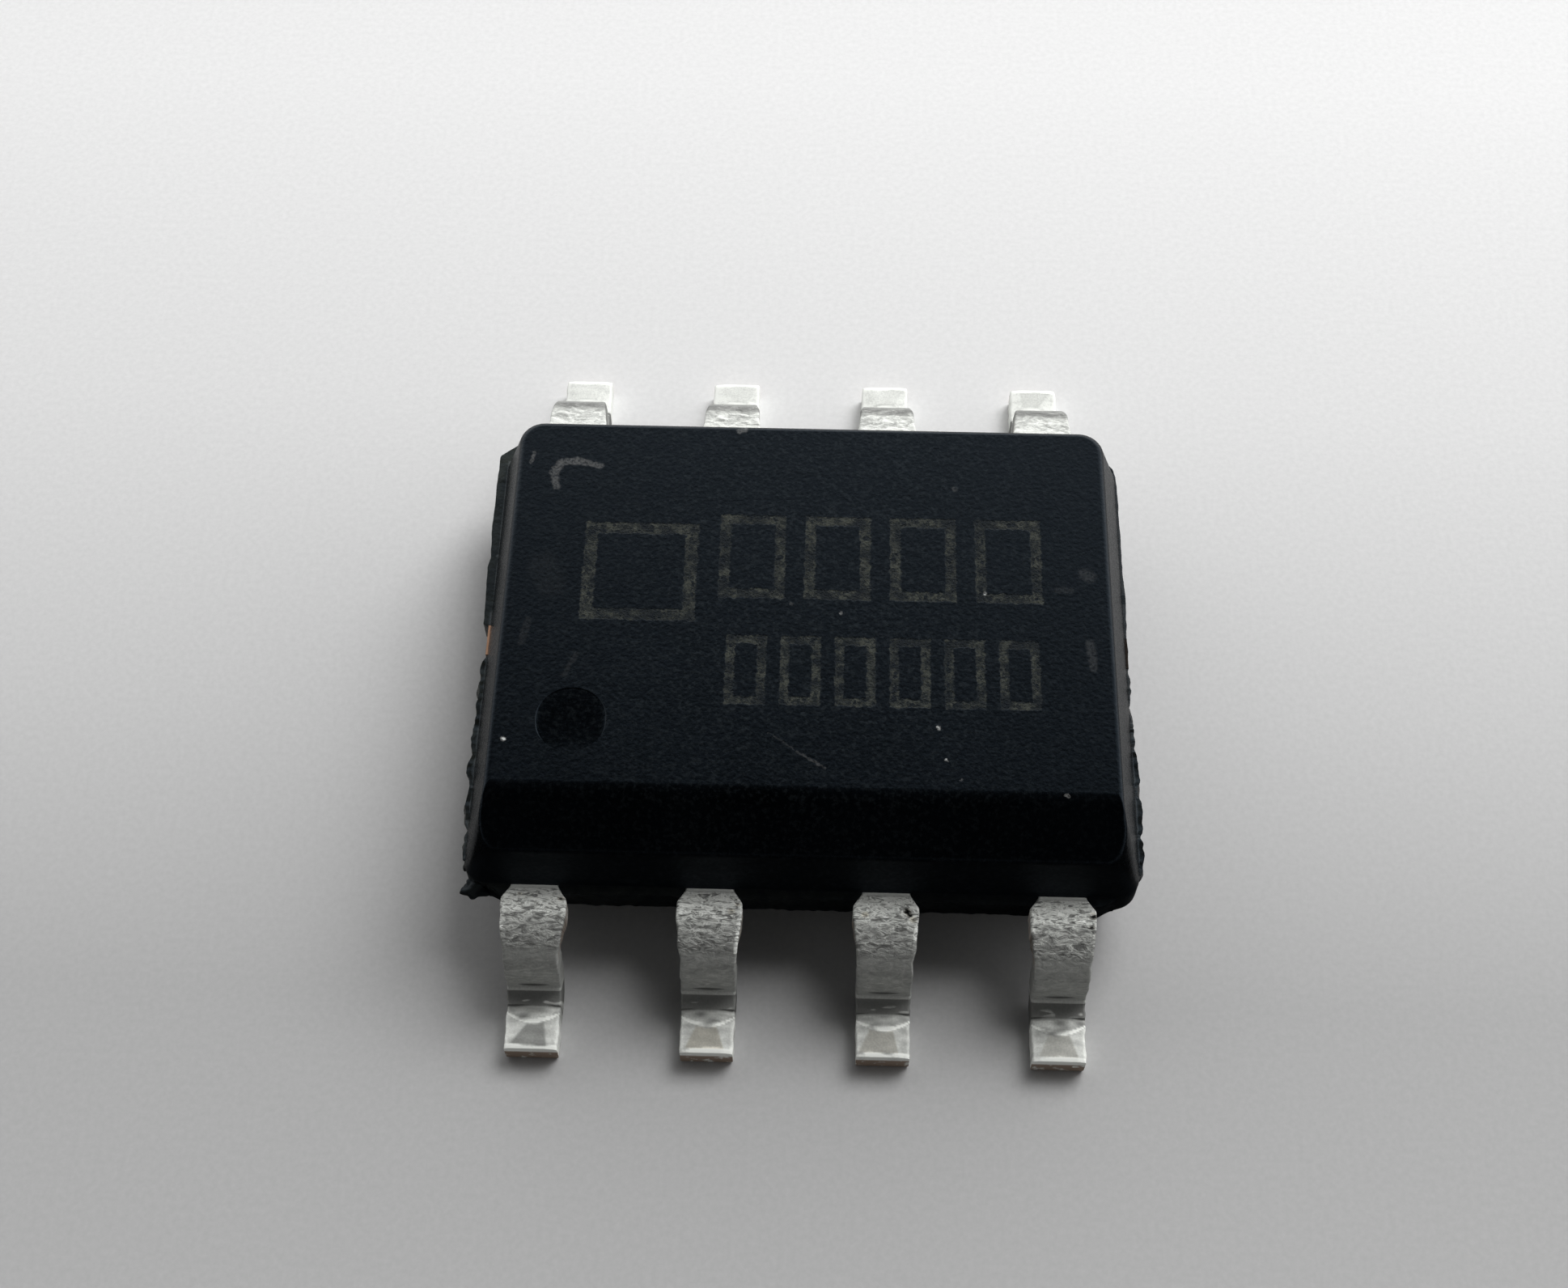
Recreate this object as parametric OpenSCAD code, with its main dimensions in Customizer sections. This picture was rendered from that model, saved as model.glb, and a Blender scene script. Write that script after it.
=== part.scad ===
// Eight-lead small-outline package with gull-wing leads.
// Millimetres. X runs along the rows of leads, Y across them, Z is up.
// The origin is the centre of the footprint on the plane that the feet stand on.
// Leads 1 to 4 run left to right on the -Y side, and 5 to 8 right to left on the +Y side.

/* [Body] */
// Length of the moulding at its parting plane
body_l = 4.90; // [4.80:0.02:5.00]
// Width of the moulding at its parting plane
body_w = 3.82; // [3.80:0.02:4.00]
// Thickness of the whole moulding
body_h = 1.32; // [1.28:0.01:1.45]
// Height of the upper half, above the top faces of the leads
upper_h = 0.68; // [0.62:0.01:0.74]
// Gap between the moulding and the plane that the feet stand on
standoff = 0.10; // [0.10:0.01:0.25]
// Draft of the moulded sides, from the vertical
draft = 16; // [8:1:18]
// Radius of the long edges round the top and the bottom
edge_r = 0.09; // [0.04:0.01:0.12]
// Radius of the four upright corners
corner_r = 0.18; // [0.10:0.01:0.25]
// Drop of the 45 degree chamfer along the side of lead 1
chamfer = 0.32; // [0.25:0.01:0.40]
// How far the moulding sits off the middle of the lead frame along X
mould_x = 0.02; // [-0.05:0.01:0.05]
// How far the moulding sits off the middle of the lead frame along Y
mould_y = -0.05; // [-0.08:0.01:0.08]

/* [Lead 1 mark] */
// Diameter of the moulded dish that marks lead 1
mark_d = 0.50; // [0.30:0.02:0.70]
// Depth of the dish
mark_depth = 0.07; // [0.03:0.01:0.10]
// From the end of the moulding to the middle of the dish
mark_from_end = 0.77; // [0.70:0.01:1.00]
// From the side of the moulding to the middle of the dish
mark_from_side = 1.00; // [0.90:0.01:1.10]

/* [Flash] */
// How far the thin web of resin between the leads stands out
web_out = 0.07; // [0.04:0.01:0.10]
// How far the flash at the left end stands out where it is widest
flash_left_out = 0.075; // [0.04:0.005:0.10]
// How far the flash at the right end stands out where it is widest
flash_right_out = 0.035; // [0.02:0.005:0.10]

/* [Leads] */
// Distance between neighbouring leads
lead_pitch = 1.27; // [1.00:0.01:1.27]
// Overall width from toe to toe
lead_span = 6.00; // [5.90:0.02:6.20]
// Thickness of the lead frame
lead_t = 0.20; // [0.17:0.01:0.22]
// Width of the neck where a lead leaves the moulding
neck_w = 0.354; // [0.300:0.002:0.400]
// Width of the shoulder, where the dam bar was cut off
shoulder_w = 0.475; // [0.420:0.005:0.540]
// Width of the leg and the foot
leg_w = 0.386; // [0.310:0.002:0.410]
// Length of the neck, from the nominal side of the moulding to where the lead grows wider
neck_l = 0.06; // [0.02:0.01:0.08]
// Length over which the neck grows into the shoulder
corner_l = 0.09; // [0.05:0.01:0.12]
// From the nominal side of the moulding to the start of the upper bend
shoulder_l = 0.31; // [0.25:0.01:0.34]
// Inside radius of both bends
bend_r = 0.12; // [0.08:0.01:0.14]
// Lean of the leg from the vertical
leg_lean = 6; // [2:1:10]
// How far round the upper bend the wide shoulder reaches, in degrees
shoulder_wrap = 38; // [20:1:60]
// Length of the shoulder's tapered end
taper_l = 0.065; // [0.03:0.005:0.10]

/* [Fingers inside the moulding] */
// How far a finger reaches into the moulding
finger_l = 0.68; // [0.60:0.01:0.75]
// Width of the finger's tip
finger_w = 0.60; // [0.45:0.01:0.70]
// Length of the wide tip
finger_tip_l = 0.40; // [0.30:0.01:0.45]

/* [Die paddle] */
// Length of the paddle along X
paddle_l = 3.00; // [2.40:0.05:3.20]
// Width of the paddle along Y
paddle_w = 1.90; // [1.60:0.05:2.00]
// Size of the 45 degree cuts at the paddle's corners
paddle_cut = 0.12; // [0.05:0.01:0.25]
// How far the paddle is pressed down below the leads
downset = 0.15; // [0.10:0.01:0.18]
// Width of the two tie bars
tie_w = 0.26; // [0.20:0.01:0.30]
// Place of the tie bars along Y
tie_y = 0.08; // [0.00:0.01:0.10]
// Level stretch of a tie bar between the paddle and the step up to the leads
tie_flat = 0.20; // [0.10:0.01:0.30]
// How far the cut ends of the tie bars stand out of the moulding
tie_out = 0.015; // [0.005:0.005:0.030]

/* [Die] */
// Length of the silicon die along X
die_l = 1.50; // [1.20:0.05:1.70]
// Width of the die along Y
die_w = 1.10; // [0.90:0.05:1.20]
// Thickness of the die
die_t = 0.25; // [0.20:0.01:0.28]
// Thickness of the glue under the die
attach_t = 0.025; // [0.020:0.005:0.040]
// How far the glue spreads past the die
attach_out = 0.04; // [0.02:0.01:0.06]

/* [Bond wires] */
// Diameter of a bond wire
wire_d = 0.03; // [0.020:0.005:0.040]
// Height of a wire's loop above the die
loop_h = 0.15; // [0.12:0.01:0.20]
// Diameter of the ball that starts a wire
ball_d = 0.08; // [0.07:0.01:0.10]
// Height of the ball
ball_h = 0.02; // [0.01:0.005:0.03]
// From the edge of the die to the middle of a ball
ball_in = 0.12; // [0.10:0.01:0.20]
// Length of a wire's end that lies on its finger
wire_tail = 0.06; // [0.04:0.01:0.10]

/* [Hidden] */
$fn = 64;
side_leads = 4;
lead_count = 2 * side_leads;
grow = 1;                                    // spare length of cutting tools

top_z = standoff + body_h;
lead_top = top_z - upper_h;
lead_z = lead_top - lead_t;
lower_h = lead_z - standoff;
tan_draft = tan(draft);

bend_outer = bend_r + lead_t;
bend_y = body_w / 2 + shoulder_l;            // middle of the upper bend
bend_z = lead_top - bend_outer;
leg_top = [bend_y + bend_outer * cos(leg_lean), bend_z + bend_outer * sin(leg_lean)];
leg_low_z = bend_outer - bend_r * sin(leg_lean);
foot_y = leg_top[0] + (leg_top[1] - leg_low_z) * tan(leg_lean) + bend_r * cos(leg_lean);
                                             // middle of the lower bend
toe_y = lead_span / 2;

finger_end = body_w / 2 - finger_l;
flare = (finger_w - neck_w) / 2;

paddle_z = lead_z - downset;
attach_z = paddle_z + lead_t;
die_z = attach_z + attach_t;
die_top = die_z + die_t;

// Flash along the left and the right end: [place along Y as a share of the straight edge,
// how far it stands out as a share of the most]. It is broken away at the tie bars, and fills
// the rounding of the rear left corner.
flash_left = [[1.08, 0.9], [1.04, 1], [0.68, 1], [0.51, 0.8], [0.46, 1], [0.29, 0.85], [0.16, 0.75],
    [-0.05, 0.3], [-0.13, 0.55], [-0.32, 0.5], [-0.43, 0.55], [-0.58, 0.5], [-0.72, 0.4], [-0.84, 0.3],
    [-0.95, 0.3], [-1, 0]];
flash_right = [[1, 0], [0.97, 0.1], [0.49, 0.1], [0.37, 0.3], [0.2, 0.15], [-0.07, 0.2], [-0.3, 0.45],
    [-0.46, 0.85], [-0.55, 1], [-0.96, 1], [-1, 0]];
flash_gap = 0.03;                            // bare stretch beside a tie bar

lap = 0.1;                                   // how far joined shapes reach into each other
edge_steps = 4;                              // facets of the rounded top and bottom edges

wire_sides = 8;
wire_steps = 10;
wire_rise = 0.12;                            // share of its way in which a wire rises off its ball
fall_power = 1.2;                            // how flat the loop's top stays before the wire falls
step_power = 1.6;                            // how much closer the rings lie at the ball

RESIN = [0.09, 0.10, 0.13];
TIN = [0.80, 0.80, 0.78];
COPPER = [0.72, 0.45, 0.30];
SILICON = [0.35, 0.37, 0.42];
GLUE = [0.70, 0.70, 0.72];
GOLD = [0.90, 0.74, 0.35];

// Where a lead stands along X: 1 to 4 left to right, then 5 to 8 right to left.
function lead_x(n) = (n <= side_leads ? n - 0.5 - side_leads / 2 : lead_count + 0.5 - side_leads / 2 - n)
    * lead_pitch;

// Half the size of the parting outline, measured square to a direction.
function reach(angle) = (body_l / 2 - corner_r) * abs(cos(angle))
    + (body_w / 2 - corner_r) * abs(sin(angle)) + corner_r;

// One side of a half of the moulding, from the parting plane at 0 to its face at h.
function side_points(half, h, lean) = let (flat = half - (h - edge_r) * tan(lean) - edge_r / cos(lean))
    concat([[half, 0]], arc_points([flat, h - edge_r], edge_r, lean, 90, edge_steps));

// Draft in a direction: steeper on the diagonals, so that the corners keep their radius.
function draft_at(angle) = atan(tan_draft * (abs(cos(angle)) + abs(sin(angle))));

// Points along an arc, from one angle to another.
function arc_points(middle, r, from, to, steps = 12) =
    [for (i = [0:steps]) let (a = from + (to - from) * i / steps) middle + r * [cos(a), sin(a)]];

function mirrored(points) = [for (i = [len(points) - 1:-1:0]) [-points[i][0], points[i][1]]];

// ---- Moulding -------------------------------------------------------------

// Half of the moulding on the plane z = 0: drafted sides, round edges and corners.
module moulded_half(h) {
    intersection_for (angle = [0:22.5:157.5]) {
        side = side_points(reach(angle), h, draft_at(angle));
        rotate([0, 0, angle]) rotate([90, 0, 0])
            linear_extrude(2 * body_l, center = true) polygon(concat(side, mirrored(side)));
    }
}

// What the 45 degree chamfer takes off the side of lead 1.
module chamfer_cut() {
    edge_y = body_w / 2 - (upper_h - chamfer) * tan_draft;
    translate([0, -edge_y, top_z - chamfer]) rotate([45, 0, 0])
        translate([-body_l, -grow, 0]) cube([2 * body_l, 2 * grow, grow]);
}

// The dish that marks lead 1: a piece of a ball.
module mark_cut() {
    ball_r = (pow(mark_d / 2, 2) + pow(mark_depth, 2)) / (2 * mark_depth);
    translate([mark_from_end - body_l / 2, mark_from_side - body_w / 2, top_z - mark_depth + ball_r])
        sphere(ball_r);
}

// Parting outline without draft, as thick as the lead frame.
module parting_plate() {
    intersection_for (angle = [0:22.5:157.5])
        rotate([0, 0, angle]) translate([0, 0, lead_t / 2])
            cube([2 * reach(angle), 2 * body_l, lead_t], center = true);
}

// Web of resin that the dam bar held back, along both rows of leads.
module webs() {
    half = body_l / 2 - corner_r;
    for (turn = [0, 180]) rotate([0, 0, turn])
        linear_extrude(lead_t)
            polygon([[-half, 0], [half, 0], [half, body_w / 2], [half - web_out, body_w / 2 + web_out],
                [web_out - half, body_w / 2 + web_out], [-half, body_w / 2]]);
}

// Flash at one end. Its edge follows a list of places along Y, and it is missing at the tie bar.
module end_flash(places, most, side) {
    straight = body_w / 2 - corner_r;
    last = places[len(places) - 1];
    linear_extrude(lead_t) difference() {
        polygon(concat([[0, places[0][0] * straight]],
            [for (p = places) [side * (body_l / 2 + p[1] * most), p[0] * straight]],
            [[0, last[0] * straight]]));
        translate([side * (body_l / 2 + grow), tie_y - mould_y])
            square([2 * grow, tie_w + 2 * flash_gap], center = true);
    }
}

module mold_body() {
    color(RESIN) difference() {
        translate([mould_x, mould_y, 0]) {
            difference() {
                translate([0, 0, lead_top]) moulded_half(upper_h);
                chamfer_cut();
                mark_cut();
            }
            translate([0, 0, lead_z]) {
                parting_plate();
                webs();
                end_flash(flash_left, flash_left_out, -1);
                end_flash(flash_right, flash_right_out, 1);
            }
            translate([0, 0, lead_z]) mirror([0, 0, 1]) moulded_half(lower_h);
        }
        for (n = [1:lead_count]) lead_place(n) lead_flat();
        paddle_solid();
        attach_solid();
        die_solid();
        for (n = [1:lead_count]) wire_solid(n);
    }
}

// ---- Leads ----------------------------------------------------------------

// Puts a lead that is drawn on the +Y side in its place.
module lead_place(n) {
    translate([lead_x(n), 0, 0]) rotate([0, 0, n <= side_leads ? 180 : 0]) children();
}

// The flat part, from the tip of the finger to the start of the upper bend.
module lead_flat() {
    corner_y = body_w / 2 + neck_l;
    half = [[finger_w / 2, finger_end], [finger_w / 2, finger_end + finger_tip_l],
        [neck_w / 2, finger_end + finger_tip_l + flare], [neck_w / 2, corner_y],
        [shoulder_w / 2, corner_y + corner_l], [shoulder_w / 2, bend_y]];
    translate([0, 0, lead_z]) linear_extrude(lead_t) polygon(concat(half, mirrored(half)));
}

// Side view of the bent part: over the upper bend, down the leg and out along the foot.
module leg_side() {
    polygon(concat(
        arc_points([bend_y, bend_z], bend_outer, 90, leg_lean),
        arc_points([foot_y, bend_outer], bend_r, 180 + leg_lean, 270),
        [[toe_y, lead_t], [toe_y, 0]],
        arc_points([foot_y, bend_outer], bend_outer, 270, 180 + leg_lean),
        arc_points([bend_y, bend_z], bend_r, leg_lean, 90)));
}

// Turns a side view into a solid, centred on X.
module thick(width) {
    rotate([90, 0, 90]) linear_extrude(width, center = true) children();
}

// The stretch of the upper bend that is as wide as the shoulder, with its tapered end.
module wrap_zone() {
    far = 2 * bend_outer;
    wide = shoulder_w / 2;
    narrow = leg_w / 2;
    translate([0, bend_y, bend_z]) {
        thick(shoulder_w)
            polygon([[0, 0], [0, far], far * [sin(shoulder_wrap / 2), cos(shoulder_wrap / 2)],
                far * [sin(shoulder_wrap), cos(shoulder_wrap)]]);
        rotate([-shoulder_wrap, 0, 0]) linear_extrude(far)
            polygon([[-wide, 0], [wide, 0], [narrow, taper_l], [-narrow, taper_l]]);
    }
}

module lead(n) {
    color(TIN) lead_place(n) {
        lead_flat();
        thick(leg_w) leg_side();
        intersection() {
            thick(shoulder_w) leg_side();
            wrap_zone();
        }
    }
}

// ---- Inside ---------------------------------------------------------------

// Side view of a tie bar: level on the paddle, a 45 degree step, level out of an end of the moulding.
module tie_side(out) {
    inner = paddle_l / 2 - lap;
    step = paddle_l / 2 + tie_flat;
    lift = tan(22.5) * lead_t;
    polygon([[inner, paddle_z], [step + lift, paddle_z], [step + lift + downset, lead_z], [out, lead_z],
        [out, lead_top], [step + downset, lead_top], [step, paddle_z + lead_t], [inner, paddle_z + lead_t]]);
}

module paddle_solid() {
    x = paddle_l / 2;
    y = paddle_w / 2;
    translate([0, 0, paddle_z]) linear_extrude(lead_t)
        polygon([[x - paddle_cut, -y], [x, paddle_cut - y], [x, y - paddle_cut], [x - paddle_cut, y],
            [paddle_cut - x, y], [-x, y - paddle_cut], [-x, paddle_cut - y], [paddle_cut - x, -y]]);
    for (side = [-1, 1]) mirror([side < 0 ? 1 : 0, 0, 0])
        translate([0, tie_y + tie_w / 2, 0]) rotate([90, 0, 0]) linear_extrude(tie_w)
            tie_side(body_l / 2 + side * mould_x + tie_out);
}

module attach_solid() {
    translate([-die_l / 2 - attach_out, -die_w / 2 - attach_out, attach_z])
        cube([die_l + 2 * attach_out, die_w + 2 * attach_out, attach_t]);
}

module die_solid() {
    translate([-die_l / 2, -die_w / 2, die_z]) cube([die_l, die_w, die_t]);
}

module die_paddle() { color(COPPER) paddle_solid(); }

module die_attach() { color(GLUE) attach_solid(); }

module die() { color(SILICON) die_solid(); }

// Middle of a wire's ball on the die, and the place on the finger where the wire ends.
function wire_side(n) = n <= side_leads ? -1 : 1;
function wire_start(n) = [lead_x(n) * (die_l - 2 * ball_in) / (lead_pitch * (side_leads - 1)),
    wire_side(n) * (die_w / 2 - ball_in)];
function wire_end(n) = [lead_x(n), wire_side(n) * (finger_end + finger_tip_l / 2)];

// Height of the wire's middle at a share t of its way: a steep rise, a flat top and a long fall.
function wire_low() = lead_top + wire_d / 2 * cos(180 / wire_sides);
function wire_z(t) = let (start = die_top + ball_h, peak = die_top + loop_h)
    t < wire_rise ? start + (peak - start) * sin(90 * t / wire_rise)
    : wire_low() + (peak - wire_low()) * pow(cos(90 * (t - wire_rise) / (1 - wire_rise)), fall_power);

function wire_at(n, t) = concat(wire_start(n) + (wire_end(n) - wire_start(n)) * t, wire_z(t));

// Middle line: upright off the ball, over the loop, then level along the finger.
function wire_line(n) = let (
        p = concat(wire_start(n), die_top + ball_h),
        q = concat(wire_end(n), wire_low()),
        run = (wire_end(n) - wire_start(n)) / norm(wire_end(n) - wire_start(n)))
    concat([p],
        [for (i = [1:wire_steps - 1]) wire_at(n, pow(i / wire_steps, step_power))],
        [q, q + wire_tail * [run[0], run[1], 0]]);

// Direction of the line at each of its points.
function heading(line, i) = let (last = len(line) - 1,
        d = i == 0 ? [0, 0, 1] : i >= last - 1 ? line[last] - line[last - 1] : line[i + 1] - line[i - 1])
    d / norm(d);

function cross_way(n) = let (d = wire_end(n) - wire_start(n)) [-d[1], d[0], 0] / norm(d);

// A wire with a flat facet below, so that its end lies flat on the finger.
module wire_tube(n) {
    line = wire_line(n);
    rings = len(line);
    way = cross_way(n);
    points = [for (i = [0:rings - 1], k = [0:wire_sides - 1])
        let (a = 360 * (k + 0.5) / wire_sides, up = cross(heading(line, i), way))
        line[i] + wire_d / 2 * (cos(a) * way + sin(a) * up)];
    walls = [for (i = [0:rings - 2], k = [0:wire_sides - 1])
        let (m = (k + 1) % wire_sides, a = i * wire_sides, b = a + wire_sides)
        each [[a + k, b + k, b + m], [a + k, b + m, a + m]]];
    ends = [[for (k = [0:wire_sides - 1]) k],
        [for (k = [wire_sides - 1:-1:0]) (rings - 1) * wire_sides + k]];
    polyhedron(points, concat(walls, ends));
}

module wire_solid(n) {
    wire_tube(n);
    translate(concat(wire_start(n), die_top)) cylinder(h = ball_h, d = ball_d, $fn = 8);
}

module bond_wire(n) { color(GOLD) wire_solid(n); }

mold_body();
for (n = [1:lead_count]) lead(n);
die_paddle();
die_attach();
die();
for (n = [1:lead_count]) bond_wire(n);
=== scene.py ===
"""Looks of an eight-lead small-outline package: black moulding, tinned gull-wing leads.

Pieces are modelled in millimetres and brought to metres when they are finished.
Leads are drawn on the +Y side, pointing away from the moulding, and then turned into their places.
"""
import math

import bmesh
import bpy
from mathutils import Matrix, Vector, noise


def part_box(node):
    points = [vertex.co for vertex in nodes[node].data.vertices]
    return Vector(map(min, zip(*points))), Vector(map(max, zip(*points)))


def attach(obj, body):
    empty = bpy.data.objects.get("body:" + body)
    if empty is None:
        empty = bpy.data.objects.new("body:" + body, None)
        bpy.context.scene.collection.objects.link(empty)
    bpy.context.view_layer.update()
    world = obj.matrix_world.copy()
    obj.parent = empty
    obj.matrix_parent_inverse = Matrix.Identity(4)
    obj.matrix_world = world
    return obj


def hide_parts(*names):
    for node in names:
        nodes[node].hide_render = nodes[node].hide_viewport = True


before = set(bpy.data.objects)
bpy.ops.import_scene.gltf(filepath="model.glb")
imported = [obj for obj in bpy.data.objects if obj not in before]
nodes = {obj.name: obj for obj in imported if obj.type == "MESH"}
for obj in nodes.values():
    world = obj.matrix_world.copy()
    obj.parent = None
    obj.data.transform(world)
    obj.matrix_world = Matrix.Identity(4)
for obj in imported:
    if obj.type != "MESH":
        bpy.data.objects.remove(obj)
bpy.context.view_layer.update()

MM = 0.001   # metres in a millimetre
NEAR = 1e-4  # closer than this, two places are the same


def node_box(name):
    """Lowest and highest corner of a node of the frame, in millimetres."""
    low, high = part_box(name)
    return Vector(low) / MM, Vector(high) / MM


# ---- Sizes of the frame, in millimetres ----
body_low, body_high = node_box("mold_body")
lead_low, lead_high = node_box("lead_1")
next_low, _ = node_box("lead_2")

SIDE_LEADS = 4
TOP_Z = body_high.z
STANDOFF = body_low.z
LEAD_TOP = lead_high.z
TOE_Y = -lead_low.y
FINGER_END = -lead_high.y
FINGER_W = lead_high.x - lead_low.x
LEAD_PITCH = next_low.x - lead_low.x

# Moulding
BODY_L = 4.90
BODY_W = 3.82
LEAD_T = 0.20
LEAD_Z = LEAD_TOP - LEAD_T
DRAFT = math.radians(16)
EDGE_R = 0.055
CORNER_R = 0.18
CHAMFER = 0.32
TOP_BEVEL = 0.085  # soft edge between the top and the chamfer
MOULD_X = 0.02     # the moulding sits off the middle of the lead frame
MOULD_Y = -0.05

# Ends and sides of the moulding at its parting plane
LEFT_X = MOULD_X - BODY_L / 2
RIGHT_X = MOULD_X + BODY_L / 2
FRONT_Y = MOULD_Y - BODY_W / 2
BACK_Y = MOULD_Y + BODY_W / 2

# Dish that marks lead 1
DISH_X = LEFT_X + 0.77
DISH_Y = FRONT_Y + 1.00
DISH_R = 0.26
DISH_DEPTH = 0.048
DISH_LIP = 0.0005  # depth at its rear rim
DISH_SLOPE = 1.9   # length of its slope, in radii

# Flash and webs
FLASH_LEFT = 0.075
FLASH_RIGHT = 0.035
WEB_OUT = 0.07

# Leads
FINGER_TIP_L = 0.40
NECK_W = 0.354
NECK_L = 0.06
NECK_END = BODY_W / 2 + NECK_L
SHOULDER_W = 0.475
SHOULDER_L = 0.31  # from the moulding's side to the upper bend
SHOULDER_START = NECK_END + 0.09
SHOULDER_WRAP = math.radians(38)  # how far it goes down the upper bend
LEG_W = 0.386
BEND_R = 0.12
BEND_OUTER = BEND_R + LEAD_T
BEND_MIDDLE = BEND_R + LEAD_T / 2
BEND_Y = BODY_W / 2 + SHOULDER_L  # middle of the upper bend
BEND_Z = LEAD_TOP - BEND_OUTER
LEG_LEAN = math.radians(6)
BEND_ANGLE = math.pi / 2 - LEG_LEAN
LEG_TOP_Z = BEND_Z + BEND_OUTER * math.sin(LEG_LEAN)
LEG_LOW_Z = BEND_OUTER - BEND_R * math.sin(LEG_LEAN)
LEG_L = (LEG_TOP_Z - LEG_LOW_Z) / math.cos(LEG_LEAN)
FOOT_Y = (BEND_Y + BEND_OUTER * math.cos(LEG_LEAN) + LEG_L * math.sin(LEG_LEAN)
          + BEND_R * math.cos(LEG_LEAN))  # middle of the lower bend

# Lengths along a lead from the tip of its finger, measured in the middle of its thickness
NECK_S = NECK_END - FINGER_END
SHOULDER_S = SHOULDER_START - FINGER_END
BEND_START = BEND_Y - FINGER_END
WRAP_END = BEND_START + SHOULDER_WRAP * BEND_MIDDLE
LEG_START = BEND_START + BEND_MIDDLE * BEND_ANGLE
LEG_END = LEG_START + LEG_L
FOOT_START = LEG_END + BEND_MIDDLE * BEND_ANGLE
TOE = FOOT_START + TOE_Y - FOOT_Y

# ---- Camera ----
CAMERA_PLACE = Vector((0.0817, -8.1914, 14.8688)) * MM
# How far it looks down, how far to the right of straight ahead, and how far it is tilted
CAMERA_TURN = [math.radians(angle) for angle in (59.610, -1.678, -0.191)]
CAMERA_LENS = 48.849
SENSOR_W = 36
CAMERA_SHIFT = (0.0005, 0.0007)


def add_camera():
    pitch, yaw, tilt = CAMERA_TURN
    level = math.cos(pitch)
    ahead = Vector((math.sin(yaw) * level, math.cos(yaw) * level, -math.sin(pitch)))
    right = Vector((math.cos(yaw), -math.sin(yaw), 0))
    turn = Matrix.Rotation(-tilt, 3, ahead)
    turned = Matrix((turn @ right, turn @ right.cross(ahead), -ahead)).transposed().to_4x4()
    lens = bpy.data.cameras.new("camera")
    lens.sensor_width = SENSOR_W
    lens.lens = CAMERA_LENS
    lens.shift_x, lens.shift_y = CAMERA_SHIFT
    lens.clip_start, lens.clip_end = 0.1 * MM, 2000 * MM
    camera = bpy.data.objects.new("camera", lens)
    camera.matrix_world = Matrix.Translation(CAMERA_PLACE) @ turned
    bpy.context.collection.objects.link(camera)
    bpy.context.scene.camera = camera


# ---- Small helpers for modelling ----
def begin():
    """Nothing is selected before a new piece is started."""
    if bpy.context.object and bpy.context.object.mode != "OBJECT":
        bpy.ops.object.mode_set(mode="OBJECT")
    bpy.ops.object.select_all(action="DESELECT")


def edit(piece, mode="EDIT"):
    bpy.context.view_layer.objects.active = piece
    bpy.ops.object.mode_set(mode=mode)


def select_all():
    bpy.ops.mesh.select_all(action="SELECT")


def pick(piece, kind, test):
    """Selects the verts, edges or faces that pass a test, in edit mode."""
    bpy.ops.mesh.select_mode(type=kind[:-1].upper())
    bpy.ops.mesh.select_all(action="DESELECT")
    mesh = bmesh.from_edit_mesh(piece.data)
    for item in getattr(mesh, kind):
        item.select_set(test(item))
    mesh.select_flush_mode()
    bmesh.update_edit_mesh(piece.data)


def settle(piece):
    """Puts an object's place, turn and scale into its mesh."""
    begin()
    piece.select_set(True)
    bpy.context.view_layer.objects.active = piece
    bpy.ops.object.transform_apply(location=True, rotation=True, scale=True)


def modify(piece, kind, **settings):
    """Adds a modifier and applies it."""
    bpy.context.view_layer.objects.active = piece
    modifier = piece.modifiers.new(kind.lower(), kind)
    for name, value in settings.items():
        setattr(modifier, name, value)
    bpy.ops.object.modifier_apply(modifier=modifier.name)


def combine(piece, other, operation):
    """Joins another solid to a piece or takes it away, and removes the other."""
    modify(piece, "BOOLEAN", object=other, operation=operation, solver="MANIFOLD")
    bpy.data.objects.remove(other)


def move_points(piece, place):
    """Moves every vertex to where a function puts it."""
    for vertex in piece.data.vertices:
        vertex.co = place(vertex.co)


def close(piece, reach=1e-5):
    """Merges doubles and turns all faces outwards."""
    edit(piece)
    select_all()
    bpy.ops.mesh.remove_doubles(threshold=reach)
    bpy.ops.mesh.normals_make_consistent(inside=False)
    edit(piece, "OBJECT")


def copy_of(piece, name):
    copy = piece.copy()
    copy.data = piece.data.copy()
    copy.name = name
    bpy.context.collection.objects.link(copy)
    return copy


def solid_copy(name):
    """A closed copy of a node of the frame, in millimetres, for cutting."""
    copy = copy_of(nodes[name], name + "_cutter")
    copy.parent = None
    copy.scale = (1 / MM, 1 / MM, 1 / MM)
    settle(copy)
    close(copy, reach=NEAR)
    return copy


def coat(piece, material):
    """Gives a piece one finish and no other."""
    piece.data.materials.clear()
    piece.data.materials.append(material)


def finish(piece, material, replaced, smooth=30, flat_faces=False):
    """Shades a piece, brings it to metres and puts it in the place of a node of the frame."""
    coat(piece, material)
    piece.scale = (MM, MM, MM)
    settle(piece)
    bpy.ops.object.shade_smooth_by_angle(angle=math.radians(smooth))
    if flat_faces:  # faces beside a rounded edge look flat up to it
        modify(piece, "WEIGHTED_NORMAL", keep_sharp=True, weight=80)
    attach(piece, "root")
    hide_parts(replaced)


def blend(a, b, share):
    return a + (b - a) * share


def ease(share):
    """Smooth step from 0 to 1."""
    share = min(max(share, 0), 1)
    return share * share * (3 - 2 * share)


def bump(distance, reach):
    """1 at no distance, falling smoothly to 0 at the reach."""
    return ease(1 - abs(distance) / reach)


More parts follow.
